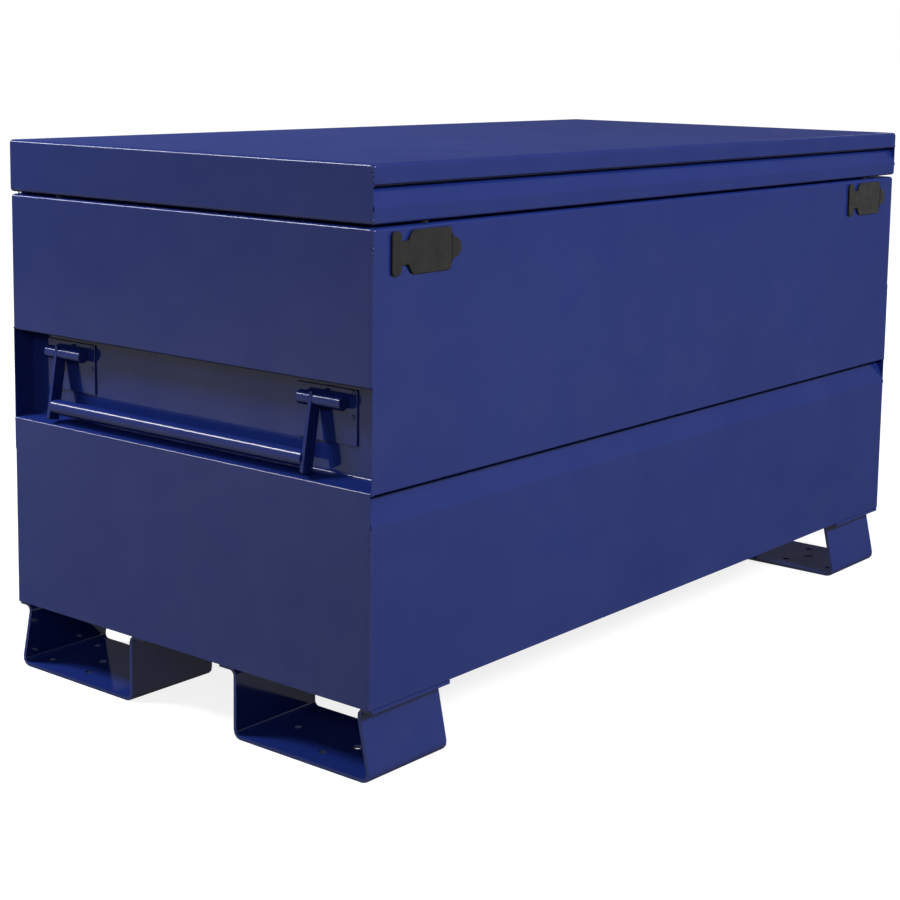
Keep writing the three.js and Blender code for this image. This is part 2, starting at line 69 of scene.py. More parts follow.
# Sheet, bends (inside radii) and upright corners. SEAM is the gap left between pieces that meet,
# OVERRUN how far a cutter passes what it cuts.
SHEET = 0.0015
BEND = 0.0015
BEND_OUTER = BEND + SHEET
TOP_BEND = 0.003
POCKET_BEND = 0.005
BEND_STEPS = 6
CORNER = 0.0046
EAR_INSET = 0.0015
CORNER_STEPS = 8
EDGE_STEPS = 4
SEAM = 0.0003
OVERRUN = 0.002

# Faces and levels of the body and the lid, from the frame
front_low, front_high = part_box("front_panel")
rear_low, rear_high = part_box("rear_panel")
lid_low, lid_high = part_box("lid_panel")
LEFT, RIGHT = front_low.x, front_high.x
FRONT, REAR = front_low.y, rear_high.y
BOTTOM, TOP = front_low.z, front_high.z
FRONT_RIM = front_high.y - front_low.y
REAR_RIM = rear_high.y - rear_low.y
END_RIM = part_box("end_panel_left")[1].x - LEFT
LID_LEFT, LID_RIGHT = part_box("lid_end_left")[0].x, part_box("lid_end_right")[1].x
LID_FRONT, LID_REAR = lid_low.y, lid_high.y
SKIRT, LID_TOP = lid_low.z, lid_high.z

# Sections of the panels; the ears are the flat strips at a corner, beside a groove or pocket
RIM_LIP = 0.012
GROOVE_TOP = TOP - 0.289
GROOVE_DEPTH = 0.016
GROOVE_BOTTOM = GROOVE_TOP - 0.034
POCKET_LIP = GROOVE_TOP + 2 * SHEET + 2 * SEAM
POCKET_TOP = POCKET_LIP + 0.113
POCKET_DEPTH = 0.030
POCKET_RISE = 0.0055
LID_BAND = 0.023
LID_SHELF = 0.012
LID_SLOPE = 0.024
LID_RETURN = 0.022
EAR_LOW = GROOVE_BOTTOM - BEND_OUTER
EAR_HIGH = GROOVE_TOP + SHEET / 2
POCKET_HIGH = POCKET_TOP + BEND_OUTER

# Lock ports
PORT_WIDTH = 0.052
PORT_HEIGHT = 0.034
HASP_SPACE = 0.003
HASP_THICK = 0.004
HASP_TO_STAPLE = 0.005

# Lock covers: places along the cover from its fixed end, its sizes, and how it is cut into
# sections
COVER_STRIP = 0.0145
COVER_CORNER = 0.0050
COVER_NECK_HEIGHT = 0.026
COVER_SLOPE_FROM = 0.0270
COVER_PANEL_FROM = 0.0375
COVER_PANEL_TO = 0.0970
COVER_TAB_FROM = 0.1015
COVER_TAB_HEIGHT = 0.0250
COVER_LENGTH = 0.1165
COVER_EDGE = 0.0009
COVER_RIDGE = 0.0005
COVER_RIDGE_WIDTH = 0.0016
COVER_SLOPE_POWER = 0.8
COVER_STEP = 0.0002
COVER_SHORT = 0.001
COVER_SECTIONS = 10
COVER_LAST = COVER_EDGE / 8

# Handles
GRIP_RAISE = 0.002
STUB_CHAMFER = 0.0012
PIVOT_SHOULDER = 0.003
BEAD = 0.0022
BEAD_RISE = 0.0004
ROUND_SIDES = 48

# Weld spots: how far below the top edge they lie, their sizes and their unevenness
BODY_SPOTS = (0.016, 0.022, 0.027, 0.330, 0.347)
LID_SPOTS = (0.008, 0.012, 0.0235, 0.060)
SPOT = 0.0014
SPOT_TALL = 1.2
PLATE_SPOT = (1.2, 1.8, 2.2)
SPOT_PAST = 0.007
SPOT_ABOVE = 0.011
SPOT_BELOW = 0.015
SPOT_RINGS = 5
SPOT_SIDES = 10
SPOT_UNEVEN = (0.85, 1.1)
SPOT_SEED = 5

# Rounded edges of the frame's own nodes, by the start of their names, and shading
EDGE_ROUNDING = {"foot": 0.0009, "handle": 0.0008, "lid_bumper": 0.0010, "hinge": 0.00025,
                 "strut": 0.0006, "lid_hasp": 0.0005, "lock": 0.0004}
PLAIN_ROUNDING = 0.0003
ROUND_SEGMENTS = 2
ROUND_ANGLE = math.radians(40)
FLAT_ANGLE = math.radians(0.5)
SMOOTH_ANGLE = math.radians(38)
WELD_REACH = 1e-5
MERGE_REACH = 1e-7

# Colours, linear, and the part of a noise field that a finish spreads over its own range
BLUE_DEEP = (0.0095, 0.0225, 0.154)
BLUE_PALE = (0.0115, 0.0260, 0.168)
NOISE_SPAN = (0.3, 0.7)

# Floor and background: a strength of 1 is white
SKY_FILL = 0.11
FLOOR_COLOUR = 0.06
FLOOR_GLOW = (0.84, 1.0)
FLOOR_GLOW_FROM = (1.2, 4.0)
FLOOR_SHADOW_SHARE = 0.30
FLOOR_REACH = 80
FLOOR_SQUARES = 8

# Lamps: name, place, target, size and watts
LAMPS = (
    ("key", (-0.1, -3.9, 2.75), (0, 0, 0.4), (1.2, 0.8), 182),
    ("fill", (-4.2, -1.6, 2.4), (-0.6, 0, 0.4), (1.5, 1.2), 37),
    ("fill_right", (4.2, 0.6, 1.6), (0.6, 0, 0.4), (1.5, 1.2), 45),
    ("strip", (-1.67, 2.2, 2.25), (-0.6, 2.2, 0.5), (1.8, 0.60), 135),
)


# The camera looks along the fitted axes; the shift keeps the photograph's framing.
def make_camera():
    forward = Vector((
        math.cos(CAMERA_PITCH) * math.sin(CAMERA_YAW),
        math.cos(CAMERA_PITCH) * math.cos(CAMERA_YAW),
        -math.sin(CAMERA_PITCH),
    ))
    right = forward.cross(Vector((0, 0, 1))).normalized()
    up = right.cross(forward)
    c, s = math.cos(CAMERA_ROLL), math.sin(CAMERA_ROLL)
    axes = Matrix((c * right + s * up, c * up - s * right, -forward)).transposed()
    data = bpy.data.cameras.new("camera")
    data.sensor_fit = "HORIZONTAL"
    data.sensor_width = SENSOR
    data.lens = FOCAL_PIXELS * SENSOR / IMAGE_WIDTH
    data.shift_y = RISE_PIXELS / IMAGE_WIDTH
    data.clip_end = CLIP_END
    camera = bpy.data.objects.new("camera", data)
    camera.matrix_world = Matrix.Translation(CAMERA_PLACE) @ axes.to_4x4()
    scene.collection.objects.link(camera)
    scene.camera = camera


# Materials. Fields run on object coordinates, so they stay with the piece.
def new_material(name, colour, roughness, constants):
    made = bpy.data.materials.new(name)
    made.use_nodes = True
    shader = made.node_tree.nodes["Principled BSDF"]
    shader.inputs["Base Color"].default_value = (*colour, 1)
    shader.inputs["Roughness"].default_value = roughness
    for socket, value in constants.items():
        shader.inputs[socket].default_value = value
    return made, shader


def field(made, scale, detail=2.0, stretch=(1, 1, 1)):
    nodes, links = made.node_tree.nodes, made.node_tree.links
    place = nodes.new("ShaderNodeTexCoord")
    spread = nodes.new("ShaderNodeMapping")
    spread.inputs["Scale"].default_value = stretch
    noise = nodes.new("ShaderNodeTexNoise")
    noise.inputs["Scale"].default_value = scale
    noise.inputs["Detail"].default_value = detail
    links.new(place.outputs["Object"], spread.inputs["Vector"])
    links.new(spread.outputs["Vector"], noise.inputs["Vector"])
    return noise.outputs["Fac"]


def remap(made, value, span, onto):
    node = made.node_tree.nodes.new("ShaderNodeMapRange")
    node.inputs["From Min"].default_value, node.inputs["From Max"].default_value = span
    node.inputs["To Min"].default_value, node.inputs["To Max"].default_value = onto
    made.node_tree.links.new(value, node.inputs["Value"])
    return node.outputs["Result"]


def drift(made, scale, detail, onto, span=NOISE_SPAN):
    """A noise field whose span is spread over the range onto."""
    return remap(made, field(made, scale, detail), span, onto)


def colour_between(made, value, first, second):
    mix = made.node_tree.nodes.new("ShaderNodeMix")
    mix.data_type = "RGBA"
    colours = [socket for socket in mix.inputs if socket.type == "RGBA"]
    colours[0].default_value = (*first, 1)
    colours[1].default_value = (*second, 1)
    made.node_tree.links.new(value, mix.inputs[0])
    return [socket for socket in mix.outputs if socket.type == "RGBA"][0]


def add_bump(made, shader, value, strength, distance, under=None):
    node = made.node_tree.nodes.new("ShaderNodeBump")
    node.inputs["Strength"].default_value = strength
    node.inputs["Distance"].default_value = distance
    made.node_tree.links.new(value, node.inputs["Height"])
    if under:
        made.node_tree.links.new(under, node.inputs["Normal"])
    made.node_tree.links.new(node.outputs["Normal"], shader.inputs["Normal"])
    return node.outputs["Normal"]


# Enamel: a deep matt blue under a thin clear film whose gloss hardly grows with the angle,
# with drifts of tone, an uneven film and a fine orange peel
def make_enamel():
    made, shader = new_material("enamel", BLUE_PALE, 0.5, {
        "Specular IOR Level": 0.0, "Coat Roughness": 0.09, "Coat IOR": 4.0,
    })
    links = made.node_tree.links
    tone = drift(made, 5, 3, (0, 1))
    links.new(colour_between(made, tone, BLUE_DEEP, BLUE_PALE), shader.inputs["Base Color"])
    links.new(drift(made, 18, 4, (0.45, 0.55)), shader.inputs["Roughness"])
    links.new(drift(made, 18, 4, (0.049, 0.059)), shader.inputs["Coat Weight"])
    wave = add_bump(made, shader, field(made, 28, 1), 0.04, 0.0010)
    peel = add_bump(made, shader, field(made, 420, 2), 0.05, 0.0003, wave)
    links.new(peel, shader.inputs["Coat Normal"])
    return made


# Matt moulded rubber with a fine grain and dusty drifts
def make_rubber():
    made, shader = new_material("rubber", (0.014, 0.0135, 0.013), 0.7, {"Specular IOR Level": 0.15})
    links = made.node_tree.links
    dust = drift(made, 60, 4, (0, 1), (0.35, 0.75))
    links.new(colour_between(made, dust, (0.0110, 0.0107, 0.0103), (0.0175, 0.0170, 0.0163)),
              shader.inputs["Base Color"])
    links.new(drift(made, 90, 3, (0.55, 0.75)), shader.inputs["Roughness"])
    add_bump(made, shader, field(made, 1800, 2), 0.25, 0.0002)
    return made


# Zinc plate: clouded grey with faint drawn lines
def make_zinc():
    made, shader = new_material("zinc", (0.52, 0.53, 0.54), 0.35, {"Metallic": 1.0})
    links = made.node_tree.links
    cloud = drift(made, 40, 4, (0, 1))
    links.new(colour_between(made, cloud, (0.42, 0.43, 0.45), (0.58, 0.58, 0.56)),
              shader.inputs["Base Color"])
    links.new(drift(made, 70, 4, (0.28, 0.5)), shader.inputs["Roughness"])
    add_bump(made, shader, field(made, 300, 2, (1, 12, 12)), 0.08, 0.0002)
    return made


# Satin black paint of the gas struts
def make_black_steel():
    made, shader = new_material("black_steel", (0.014, 0.014, 0.015), 0.4, {})
    links = made.node_tree.links
    cloud = drift(made, 50, 3, (0, 1))
    links.new(colour_between(made, cloud, (0.011, 0.011, 0.012), (0.018, 0.018, 0.019)),
              shader.inputs["Base Color"])
    links.new(drift(made, 80, 3, (0.3, 0.45)), shader.inputs["Roughness"])
    add_bump(made, shader, field(made, 500, 2), 0.08, 0.0002)
    return made


# Polished rod: bright, with a thin film of oil
def make_chrome():
    made, shader = new_material("chrome", (0.72, 0.73, 0.74), 0.1, {"Metallic": 1.0})
    links = made.node_tree.links
    film = drift(made, 60, 3, (0, 1))
    links.new(colour_between(made, film, (0.68, 0.69, 0.70), (0.75, 0.75, 0.75)),
              shader.inputs["Base Color"])
    links.new(drift(made, 90, 4, (0.06, 0.16)), shader.inputs["Roughness"])
    return made


finishes = {
    "enamel": make_enamel(),
    "rubber": make_rubber(),
    "zinc": make_zinc(),
    "black_steel": make_black_steel(),
    "chrome": make_chrome(),
}


# Shading by edge angle, as a modifier, so that the frame's own meshes stay untouched
def smooth_by_angle(limit):
    group = bpy.data.node_groups.new("smooth_by_angle", "GeometryNodeTree")
    for direction in ("INPUT", "OUTPUT"):
        group.interface.new_socket("Geometry", in_out=direction, socket_type="NodeSocketGeometry")
    start, end = group.nodes.new("NodeGroupInput"), group.nodes.new("NodeGroupOutput")
    faces = group.nodes.new("GeometryNodeSetShadeSmooth")
    edges = group.nodes.new("GeometryNodeSetShadeSmooth")
    edges.domain = "EDGE"
    angle = group.nodes.new("GeometryNodeInputMeshEdgeAngle")
    compare = group.nodes.new("FunctionNodeCompare")
    compare.data_type = "FLOAT"
    compare.operation = "LESS_THAN"
    compare.inputs["B"].default_value = limit
    group.links.new(angle.outputs["Unsigned Angle"], compare.inputs["A"])
    group.links.new(start.outputs[0], faces.inputs["Geometry"])
    group.links.new(faces.outputs["Geometry"], edges.inputs["Geometry"])
    group.links.new(compare.outputs["Result"], edges.inputs["Shade Smooth"])
    group.links.new(edges.outputs["Geometry"], end.inputs[0])
    return group


shading = smooth_by_angle(SMOOTH_ANGLE)


def finish_surface(obj, finish, round_edges=0.0):
    obj.data.materials.clear()
    obj.data.materials.append(finishes[finish])
    if round_edges:
        weld = obj.modifiers.new("weld", "WELD")
        weld.merge_threshold = WELD_REACH
        flat = obj.modifiers.new("flat_faces", "DECIMATE")
        flat.decimate_type = "DISSOLVE"
        flat.angle_limit = FLAT_ANGLE
        bevel = obj.modifiers.new("round_edges", "BEVEL")
        bevel.width = round_edges
        bevel.segments = ROUND_SEGMENTS
        bevel.limit_method = "ANGLE"
        bevel.angle_limit = ROUND_ANGLE
        bevel.miter_outer = "MITER_ARC"
    smooth = obj.modifiers.new("smooth", "NODES")
    smooth.node_group = shading
    weighted = obj.modifiers.new("weighted", "WEIGHTED_NORMAL")
    weighted.keep_sharp = True


# A part is a list of points and a list of faces. A piece joins parts into one mesh.
def new_piece(name, parts, body, finish, nodes=(), cutters=()):
    obj = mesh_object(name, parts)
    carve(obj, cutters)
    finish_surface(obj, finish)
    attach(obj, body)
    if nodes:
        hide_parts(*nodes)


def mesh_object(name, parts):
    work = bmesh.new()
    for points, faces in parts:
        made = [work.verts.new(point) for point in points]
        for face in faces:
            work.faces.new([made[i] for i in face])
    bmesh.ops.remove_doubles(work, verts=work.verts, dist=MERGE_REACH)
    bmesh.ops.recalc_face_normals(work, faces=work.faces)
    mesh = bpy.data.meshes.new(name)
    work.to_mesh(mesh)
    work.free()
    obj = bpy.data.objects.new(name, mesh)
    scene.collection.objects.link(obj)
    return obj


def carve(obj, cutters):
    for cutter in cutters:
        tool = mesh_object("cutter", [cutter])
        cut = obj.modifiers.new("cut", "BOOLEAN")
        cut.operation = "DIFFERENCE"
        cut.solver = "EXACT"
        cut.object = tool
        bpy.context.view_layer.update()
        carved = bpy.data.meshes.new_from_object(
            obj.evaluated_get(bpy.context.evaluated_depsgraph_get()))
        obj.modifiers.clear()
        obj.data = carved
        bpy.data.objects.remove(tool)


def moved(part, place):
    points, faces = part
    return [place(point) for point in points], faces


def ring_faces(count, rings):
    """The faces between rings of points, each ring having count of them."""
    faces = []
    for ring in range(rings - 1):
        for i in range(count):
            j = (i + 1) % count
            faces.append((ring * count + i, ring * count + j,
                          (ring + 1) * count + j, (ring + 1) * count + i))
    return faces


def end_faces(count, rings):
    return [tuple(range(count)), tuple(range((rings - 1) * count, rings * count))]


def swept(outline, start, end):
    """The outline (u, v) swept along a third direction: points are (along, u, v)."""
    count = len(outline)
    points = [Vector((along, u, v)) for along in (start, end) for u, v in outline]
    return points, ring_faces(count, 2) + end_faces(count, 2)


def box_part(low, high):
    outline = [(low[1], low[2]), (high[1], low[2]), (high[1], high[2]), (low[1], high[2])]
    return swept(outline, low[0], high[0])


def sheet_edge(middle, outward):
    """Points round a sheet's cut edge, from the right of the outward heading to its left."""
    left = Vector((-outward.y, outward.x))
    points = []
    for step in range(EDGE_STEPS + 1):
        angle = math.pi * (step / EDGE_STEPS - 0.5)
        points.append(middle + (math.cos(angle) * outward + math.sin(angle) * left) * SHEET / 2)
    return points


def folded_sheet(path, round_start=True, round_end=True):
    """The outline of a bent sheet: the path runs along one face, the thickness lies to its left.
    A path point may hold a third value, the inside radius of its own bend."""
    corners = [Vector(point[:2]) for point in path]
    headings = [(b - a).normalized() for a, b in zip(corners, corners[1:])]
    lefts = [Vector((-h.y, h.x)) for h in headings]
    face, back = [], []
    for i in range(1, len(headings)):
        before, after = headings[i - 1], headings[i]
        side = math.copysign(1, before.x * after.y - before.y * after.x)
        inner = path[i][2] if len(path[i]) > 2 else BEND
        face_radius = inner + (SHEET if side > 0 else 0)
        back_radius = inner + (0 if side > 0 else SHEET)
        reach = side * face_radius / (1 + lefts[i - 1].dot(lefts[i]))
        centre = corners[i] + (lefts[i - 1] + lefts[i]) * reach
        first = -side * lefts[i - 1]
        start = math.atan2(first.y, first.x)
        sweep = side * math.acos(max(-1, min(1, before.dot(after))))
        for step in range(BEND_STEPS + 1):
            angle = start + sweep * step / BEND_STEPS
            ray = Vector((math.cos(angle), math.sin(angle)))
            face.append(centre + ray * face_radius)
            back.append(centre + ray * back_radius)
    half = SHEET / 2

    def cut_edge(corner, outward, to_middle):
        return sheet_edge(corner + to_middle - outward * half, outward)

    last = [corners[-1], corners[-1] + lefts[-1] * SHEET]
    if round_end:
        last = cut_edge(corners[-1], headings[-1], lefts[-1] * half)
    first = [corners[0] + lefts[0] * SHEET, corners[0]]
    if round_start:
        first = cut_edge(corners[0], -headings[0], lefts[0] * half)
    return face + last + back[::-1] + first


# Places: a wall's own (along, inward, level) to the box's X, Y and Z
def at_front(point):
    return Vector((point[0], FRONT + point[1], point[2]))


def at_rear(point):
    return Vector((point[0], REAR - point[1], point[2]))


def at_left(point):
    return Vector((LEFT + point[1], point[0], point[2]))


def at_right(point):
    return Vector((RIGHT - point[1], point[0], point[2]))


# Upright corners, drawn from the corner inward: (in from the end, in from the front, level)
def corner_tube(low, high, low_dome=False, high_dome=False):
    """A quarter of a tube; a dome closes over to the flat of a rim or flange."""
    def dome(level, direction):
        outer, inner = [], []
        for step in range(BEND_STEPS + 1):
            angle = math.pi / 2 * step / BEND_STEPS
            across, along = math.cos(angle), math.sin(angle)
            radius = TOP_BEND + SHEET
            centre = (CORNER - radius, level - direction * radius)
            outer.append((centre[0] + radius * across, centre[1] + direction * radius * along))
            inner.append((centre[0] + TOP_BEND * across, centre[1] + direction * TOP_BEND * along))
        outer.append((0, level))
        inner.append((0, level - direction * SHEET))
        return outer, inner

    def cut(level):
        return [(CORNER, level)], [(CORNER - SHEET, level)]

    top_outer, top_inner = dome(high, 1) if high_dome else cut(high)
    low_outer, low_inner = dome(low, -1) if low_dome else cut(low)
    profile = top_outer + top_inner[::-1] + low_inner + low_outer[::-1]
    count, rings = len(profile), CORNER_STEPS + 1
    points = []
    for ring in range(rings):
        angle = math.pi * (1 + ring / CORNER_STEPS / 2)
        for reach, level in profile:
            points.append(Vector((CORNER + reach * math.cos(angle),
                                  CORNER + reach * math.sin(angle), level)))
    return points, ring_faces(count, rings) + end_faces(count, rings)


def along_x(outline, start, end):
    """A section drawn in (inward from the front, level), for the strip beside a corner."""
    return swept(outline, start, end)


def along_y(outline, start, end):
    """A section drawn in (inward from the end, level), for the strip beside a corner."""
    points, faces = swept(outline, start, end)
    return [Vector((p.y, p.x, p.z)) for p in points], faces


def along_z(outline, start, end):
    points, faces = swept(outline, start, end)
    return [Vector((p.y, p.z, p.x)) for p in points], faces


def body_corner():
    """Everything in the last few millimetres of a body corner."""
    groove = folded_sheet([
        (0, GROOVE_TOP + BEND_OUTER), (0, GROOVE_TOP), (GROOVE_DEPTH, GROOVE_TOP),
        (0, GROOVE_BOTTOM), (0, EAR_LOW),
    ], False, False)
    pocket = folded_sheet([
        (0, POCKET_HIGH), (0, POCKET_TOP), (POCKET_DEPTH, POCKET_TOP),
        (POCKET_DEPTH, POCKET_LIP + POCKET_RISE, POCKET_BEND), (0, POCKET_LIP),
        (0, POCKET_LIP - BEND_OUTER),
    ], False, False)
    ear = folded_sheet([(0, CORNER), (0, EAR_INSET)], False, True)
    edge = [(v, u) for u, v in ear]
    return [
        corner_tube(BOTTOM, EAR_LOW),
        corner_tube(POCKET_HIGH, TOP, high_dome=True),
        along_x(groove, SHEET, CORNER),
        along_y(pocket, SHEET, CORNER),
        along_z(ear, EAR_LOW, EAR_HIGH),
        along_z(edge, EAR_HIGH, POCKET_HIGH),
    ]


def lid_front_corner():
    band = LID_TOP - LID_BAND
    slope_end = band - LID_SLOPE
    shelf = folded_sheet([
        (0, band + BEND_OUTER), (0, band), (LID_SHELF, band), (0, slope_end),
        (0, slope_end - BEND_OUTER),
    ], False, False)
    ear = folded_sheet([(0, CORNER), (0, EAR_INSET)], False, True)
    return [
        corner_tube(SKIRT, slope_end - BEND_OUTER, low_dome=True),
        corner_tube(band + BEND_OUTER, LID_TOP, high_dome=True),
        along_x(shelf, SHEET, CORNER),
        along_z(ear, slope_end - BEND_OUTER, band + BEND_OUTER),
    ]


def lid_rear_corner():
    return [corner_tube(SKIRT, LID_TOP, low_dome=True, high_dome=True)]


def corner_place(x_face, x_inward, y_face, y_inward):
    def place(point):
        return Vector((x_face + x_inward * point[0], y_face + y_inward * point[1], point[2]))
    return place


# Body panels
def side_wall_section(rim):
    return folded_sheet([
        (rim, TOP - RIM_LIP), (rim, TOP), (0, TOP, TOP_BEND), (0, GROOVE_TOP),
        (GROOVE_DEPTH, GROOVE_TOP), (0, GROOVE_BOTTOM), (0, BOTTOM),
    ])


def end_wall_section():
    return folded_sheet([
        (END_RIM, TOP - RIM_LIP), (END_RIM, TOP), (0, TOP, TOP_BEND), (0, POCKET_TOP),
        (POCKET_DEPTH, POCKET_TOP), (POCKET_DEPTH, POCKET_LIP + POCKET_RISE, POCKET_BEND),
        (0, POCKET_LIP), (0, BOTTOM),
    ])


def port_cutters():
    """The ports in the front wall and the slots in the rim for the hasps."""
    cutters = []
    for side in ("left", "right"):
        hasp_low, hasp_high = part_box("lid_hasp_" + side)
        cover_low, cover_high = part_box("lock_cover_" + side + "_strip")
        middle = (hasp_low.x + hasp_high.x) / 2
        level = (cover_low.z + cover_high.z) / 2
        cutters.append(box_part(
            (middle - PORT_WIDTH / 2, FRONT - OVERRUN, level - PORT_HEIGHT / 2),
            (middle + PORT_WIDTH / 2, FRONT + SHEET + OVERRUN, level + PORT_HEIGHT / 2)))
        staple_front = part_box("lock_staple_" + side)[0].y
        hasp_back = staple_front - HASP_TO_STAPLE
        cutters.append(box_part(
            (hasp_low.x - HASP_SPACE, hasp_back - HASP_THICK - HASP_SPACE, TOP - SHEET - OVERRUN),
            (hasp_high.x + HASP_SPACE, hasp_back + HASP_SPACE, TOP + OVERRUN)))
    return cutters


def flange_cutters(edges, levels, front, rear):
    """Where an end's flange, between two places in X, gives way to the front's and the rear's,
    which are spans in Y."""
    return [
        box_part((min(edges), start, levels[0]), (max(edges), end, levels[1]))
        for start, end in (front, rear)
    ]


def make_body():
    span = (LEFT + CORNER, RIGHT - CORNER)
    new_piece("front_skin", [moved(swept(side_wall_section(FRONT_RIM), *span), at_front)],
              "root", "enamel", ["front_panel"], port_cutters())
    new_piece("rear_skin", [moved(swept(side_wall_section(REAR_RIM), *span), at_rear)],
              "root", "enamel", ["rear_panel"])
    for side, place, x_face, inward in (("left", at_left, LEFT, 1), ("right", at_right, RIGHT, -1)):
        wall = moved(swept(end_wall_section(), FRONT + CORNER, REAR - CORNER), place)
        obj = mesh_object("end_skin_" + side, [wall])
        carve(obj, flange_cutters(
            (x_face + inward * (END_RIM + OVERRUN), x_face + inward * CORNER),
            (TOP - RIM_LIP - OVERRUN, TOP + OVERRUN),
            (FRONT, FRONT + FRONT_RIM + SEAM), (REAR - REAR_RIM - SEAM, REAR)))
        add_parts(obj, [
            moved(part, corner_place(x_face, inward, y_face, y_inward))
            for y_face, y_inward in ((FRONT, 1), (REAR, -1)) for part in body_corner()
        ])
        finish_surface(obj, "enamel")
        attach(obj, "root")
        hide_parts("end_panel_" + side)


def add_parts(obj, parts):
    """Adds parts to a piece's mesh."""
    extra = mesh_object("extra", parts)
    work = bmesh.new()
    work.from_mesh(obj.data)
    work.from_mesh(extra.data)
    work.to_mesh(obj.data)
    work.free()
    bpy.data.objects.remove(extra)


# Lid
def make_lid():
    depth = LID_REAR - LID_FRONT
    band = LID_TOP - LID_BAND
    section = folded_sheet([
        (depth - LID_RETURN, SKIRT), (depth, SKIRT, TOP_BEND), (depth, LID_TOP, TOP_BEND),
        (0, LID_TOP, TOP_BEND), (0, band), (LID_SHELF, band), (0, band - LID_SLOPE),
        (0, SKIRT, TOP_BEND), (LID_RETURN, SKIRT),
    ])
    top = swept(section, LID_LEFT + CORNER, LID_RIGHT - CORNER)
    new_piece("lid_skin", [moved(top, lambda p: Vector((p[0], LID_FRONT + p[1], p[2])))],
              "lid", "enamel", ["lid_panel"])
    end_section = folded_sheet([
        (CORNER, LID_TOP), (0, LID_TOP, TOP_BEND), (0, SKIRT, TOP_BEND), (LID_RETURN, SKIRT),
    ], False, True)
    for side, x_face, inward in (("left", LID_LEFT, 1), ("right", LID_RIGHT, -1)):
        wall = swept(end_section, LID_FRONT + CORNER, LID_REAR - CORNER)
        obj = mesh_object("lid_end_skin_" + side, [
            moved(wall, lambda p: Vector((x_face + inward * p[1], p[0], p[2])))])
        carve(obj, flange_cutters(
            (x_face + inward * CORNER, x_face + inward * (LID_RETURN + OVERRUN)),
            (SKIRT - OVERRUN, SKIRT + SHEET + OVERRUN),
            (LID_FRONT, LID_FRONT + LID_RETURN + SEAM), (LID_REAR - LID_RETURN - SEAM, LID_REAR)))
        add_parts(obj, [
            moved(part, corner_place(x_face, inward, LID_FRONT, 1)) for part in lid_front_corner()
        ] + [
            moved(part, corner_place(x_face, inward, LID_REAR, -1)) for part in lid_rear_corner()
        ])
        finish_surface(obj, "enamel")
        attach(obj, "lid")
        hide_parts("lid_end_" + side)


# Round pieces: a profile of (place along Y, radius) turned about an axis along Y
def turned(profile, x, z):
    points = []
    for along, radius in profile:
        for side in range(ROUND_SIDES):
            angle = 2 * math.pi * side / ROUND_SIDES
            points.append(Vector((
                x + radius * math.cos(angle), along, z + radius * math.sin(angle))))
    rings = len(profile)
    return points, ring_faces(ROUND_SIDES, rings) + end_faces(ROUND_SIDES, rings)


def bead_profile(face, direction, radius):
    """A weld's fillet between a bar and the face that it meets, where the radius is full."""
    return [
        (face + direction * BEAD * (1 - math.sin(math.pi / 2 * step / BEND_STEPS)),
         radius - BEAD_RISE * math.cos(math.pi / 2 * step / BEND_STEPS))
        for step in range(BEND_STEPS + 1)
    ]


def rounded_end(face, direction, radius):
    """From the end's flat face out to the full radius."""
    return [
        (face + direction * STUB_CHAMFER * (1 - math.cos(math.pi / 2 * step / EDGE_STEPS)),
         radius - STUB_CHAMFER * (1 - math.sin(math.pi / 2 * step / EDGE_STEPS)))
        for step in range(EDGE_STEPS + 1)
    ]


def axis_of(low, high):
    """The axis and the radius of a bar along Y, from its box."""
    return (low.x + high.x) / 2, (low.z + high.z) / 2, (high.z - low.z) / 2


def make_handles():
    for side in ("left", "right"):
        low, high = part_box("handle_" + side + "_bar")
        x, z, radius = axis_of(low, high)
        start = bead_profile(low.y - SEAM, 1, radius)[::-1]
        end = bead_profile(high.y + SEAM, -1, radius)
        new_piece("handle_" + side + "_grip", [turned(start + end, x, z + GRIP_RAISE)],
                  "handle_" + side, "enamel", ["handle_" + side + "_bar"])
        for where in ("front", "rear"):
            make_pivot("handle_" + side + "_" + where)


def make_pivot(name):
    """A turned bar with a neck where it passes through the arm, and rounded ends."""
    low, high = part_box(name + "_pivot")
    arm_low, arm_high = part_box(name + "_arm")
    x, z, radius = axis_of(low, high)
    neck = radius - PIVOT_SHOULDER
    profile = rounded_end(low.y, 1, radius) + [
        (arm_low.y - SEAM, radius), (arm_low.y - SEAM, neck),
        (arm_high.y + SEAM, neck), (arm_high.y + SEAM, radius),
    ] + rounded_end(high.y, -1, radius)[::-1]
    new_piece(name + "_pivot_bar", [turned(profile, x, z)], "root", "enamel", [name + "_pivot"])


# Lock covers: half the height at a place along the cover
def cover_half(along, height):
    half, neck, tab = height / 2, COVER_NECK_HEIGHT / 2, COVER_TAB_HEIGHT / 2
    if along < COVER_CORNER:
        return half - COVER_CORNER + round_share(COVER_CORNER - along, COVER_CORNER)
    if along < COVER_STRIP - COVER_CORNER:
        return half
    if along <= COVER_STRIP:
        return half - COVER_CORNER + round_share(along - COVER_STRIP + COVER_CORNER, COVER_CORNER)
    if along < COVER_SLOPE_FROM:
        return neck
    if along < COVER_PANEL_FROM:
        share = (along - COVER_SLOPE_FROM) / (COVER_PANEL_FROM - COVER_SLOPE_FROM)
        return neck + (half - neck) * math.sin(share * math.pi / 2) ** COVER_SLOPE_POWER
    if along < COVER_PANEL_TO:
        return half
    if along < COVER_TAB_FROM:
        share = (along - COVER_PANEL_TO) / (COVER_TAB_FROM - COVER_PANEL_TO)
        return half + (tab - half) * share
    reach = COVER_LENGTH - COVER_TAB_FROM
    return tab * round_share(along - COVER_TAB_FROM, reach) / reach


def round_share(past, radius):
    return math.sqrt(max(0, radius * radius - past * past))


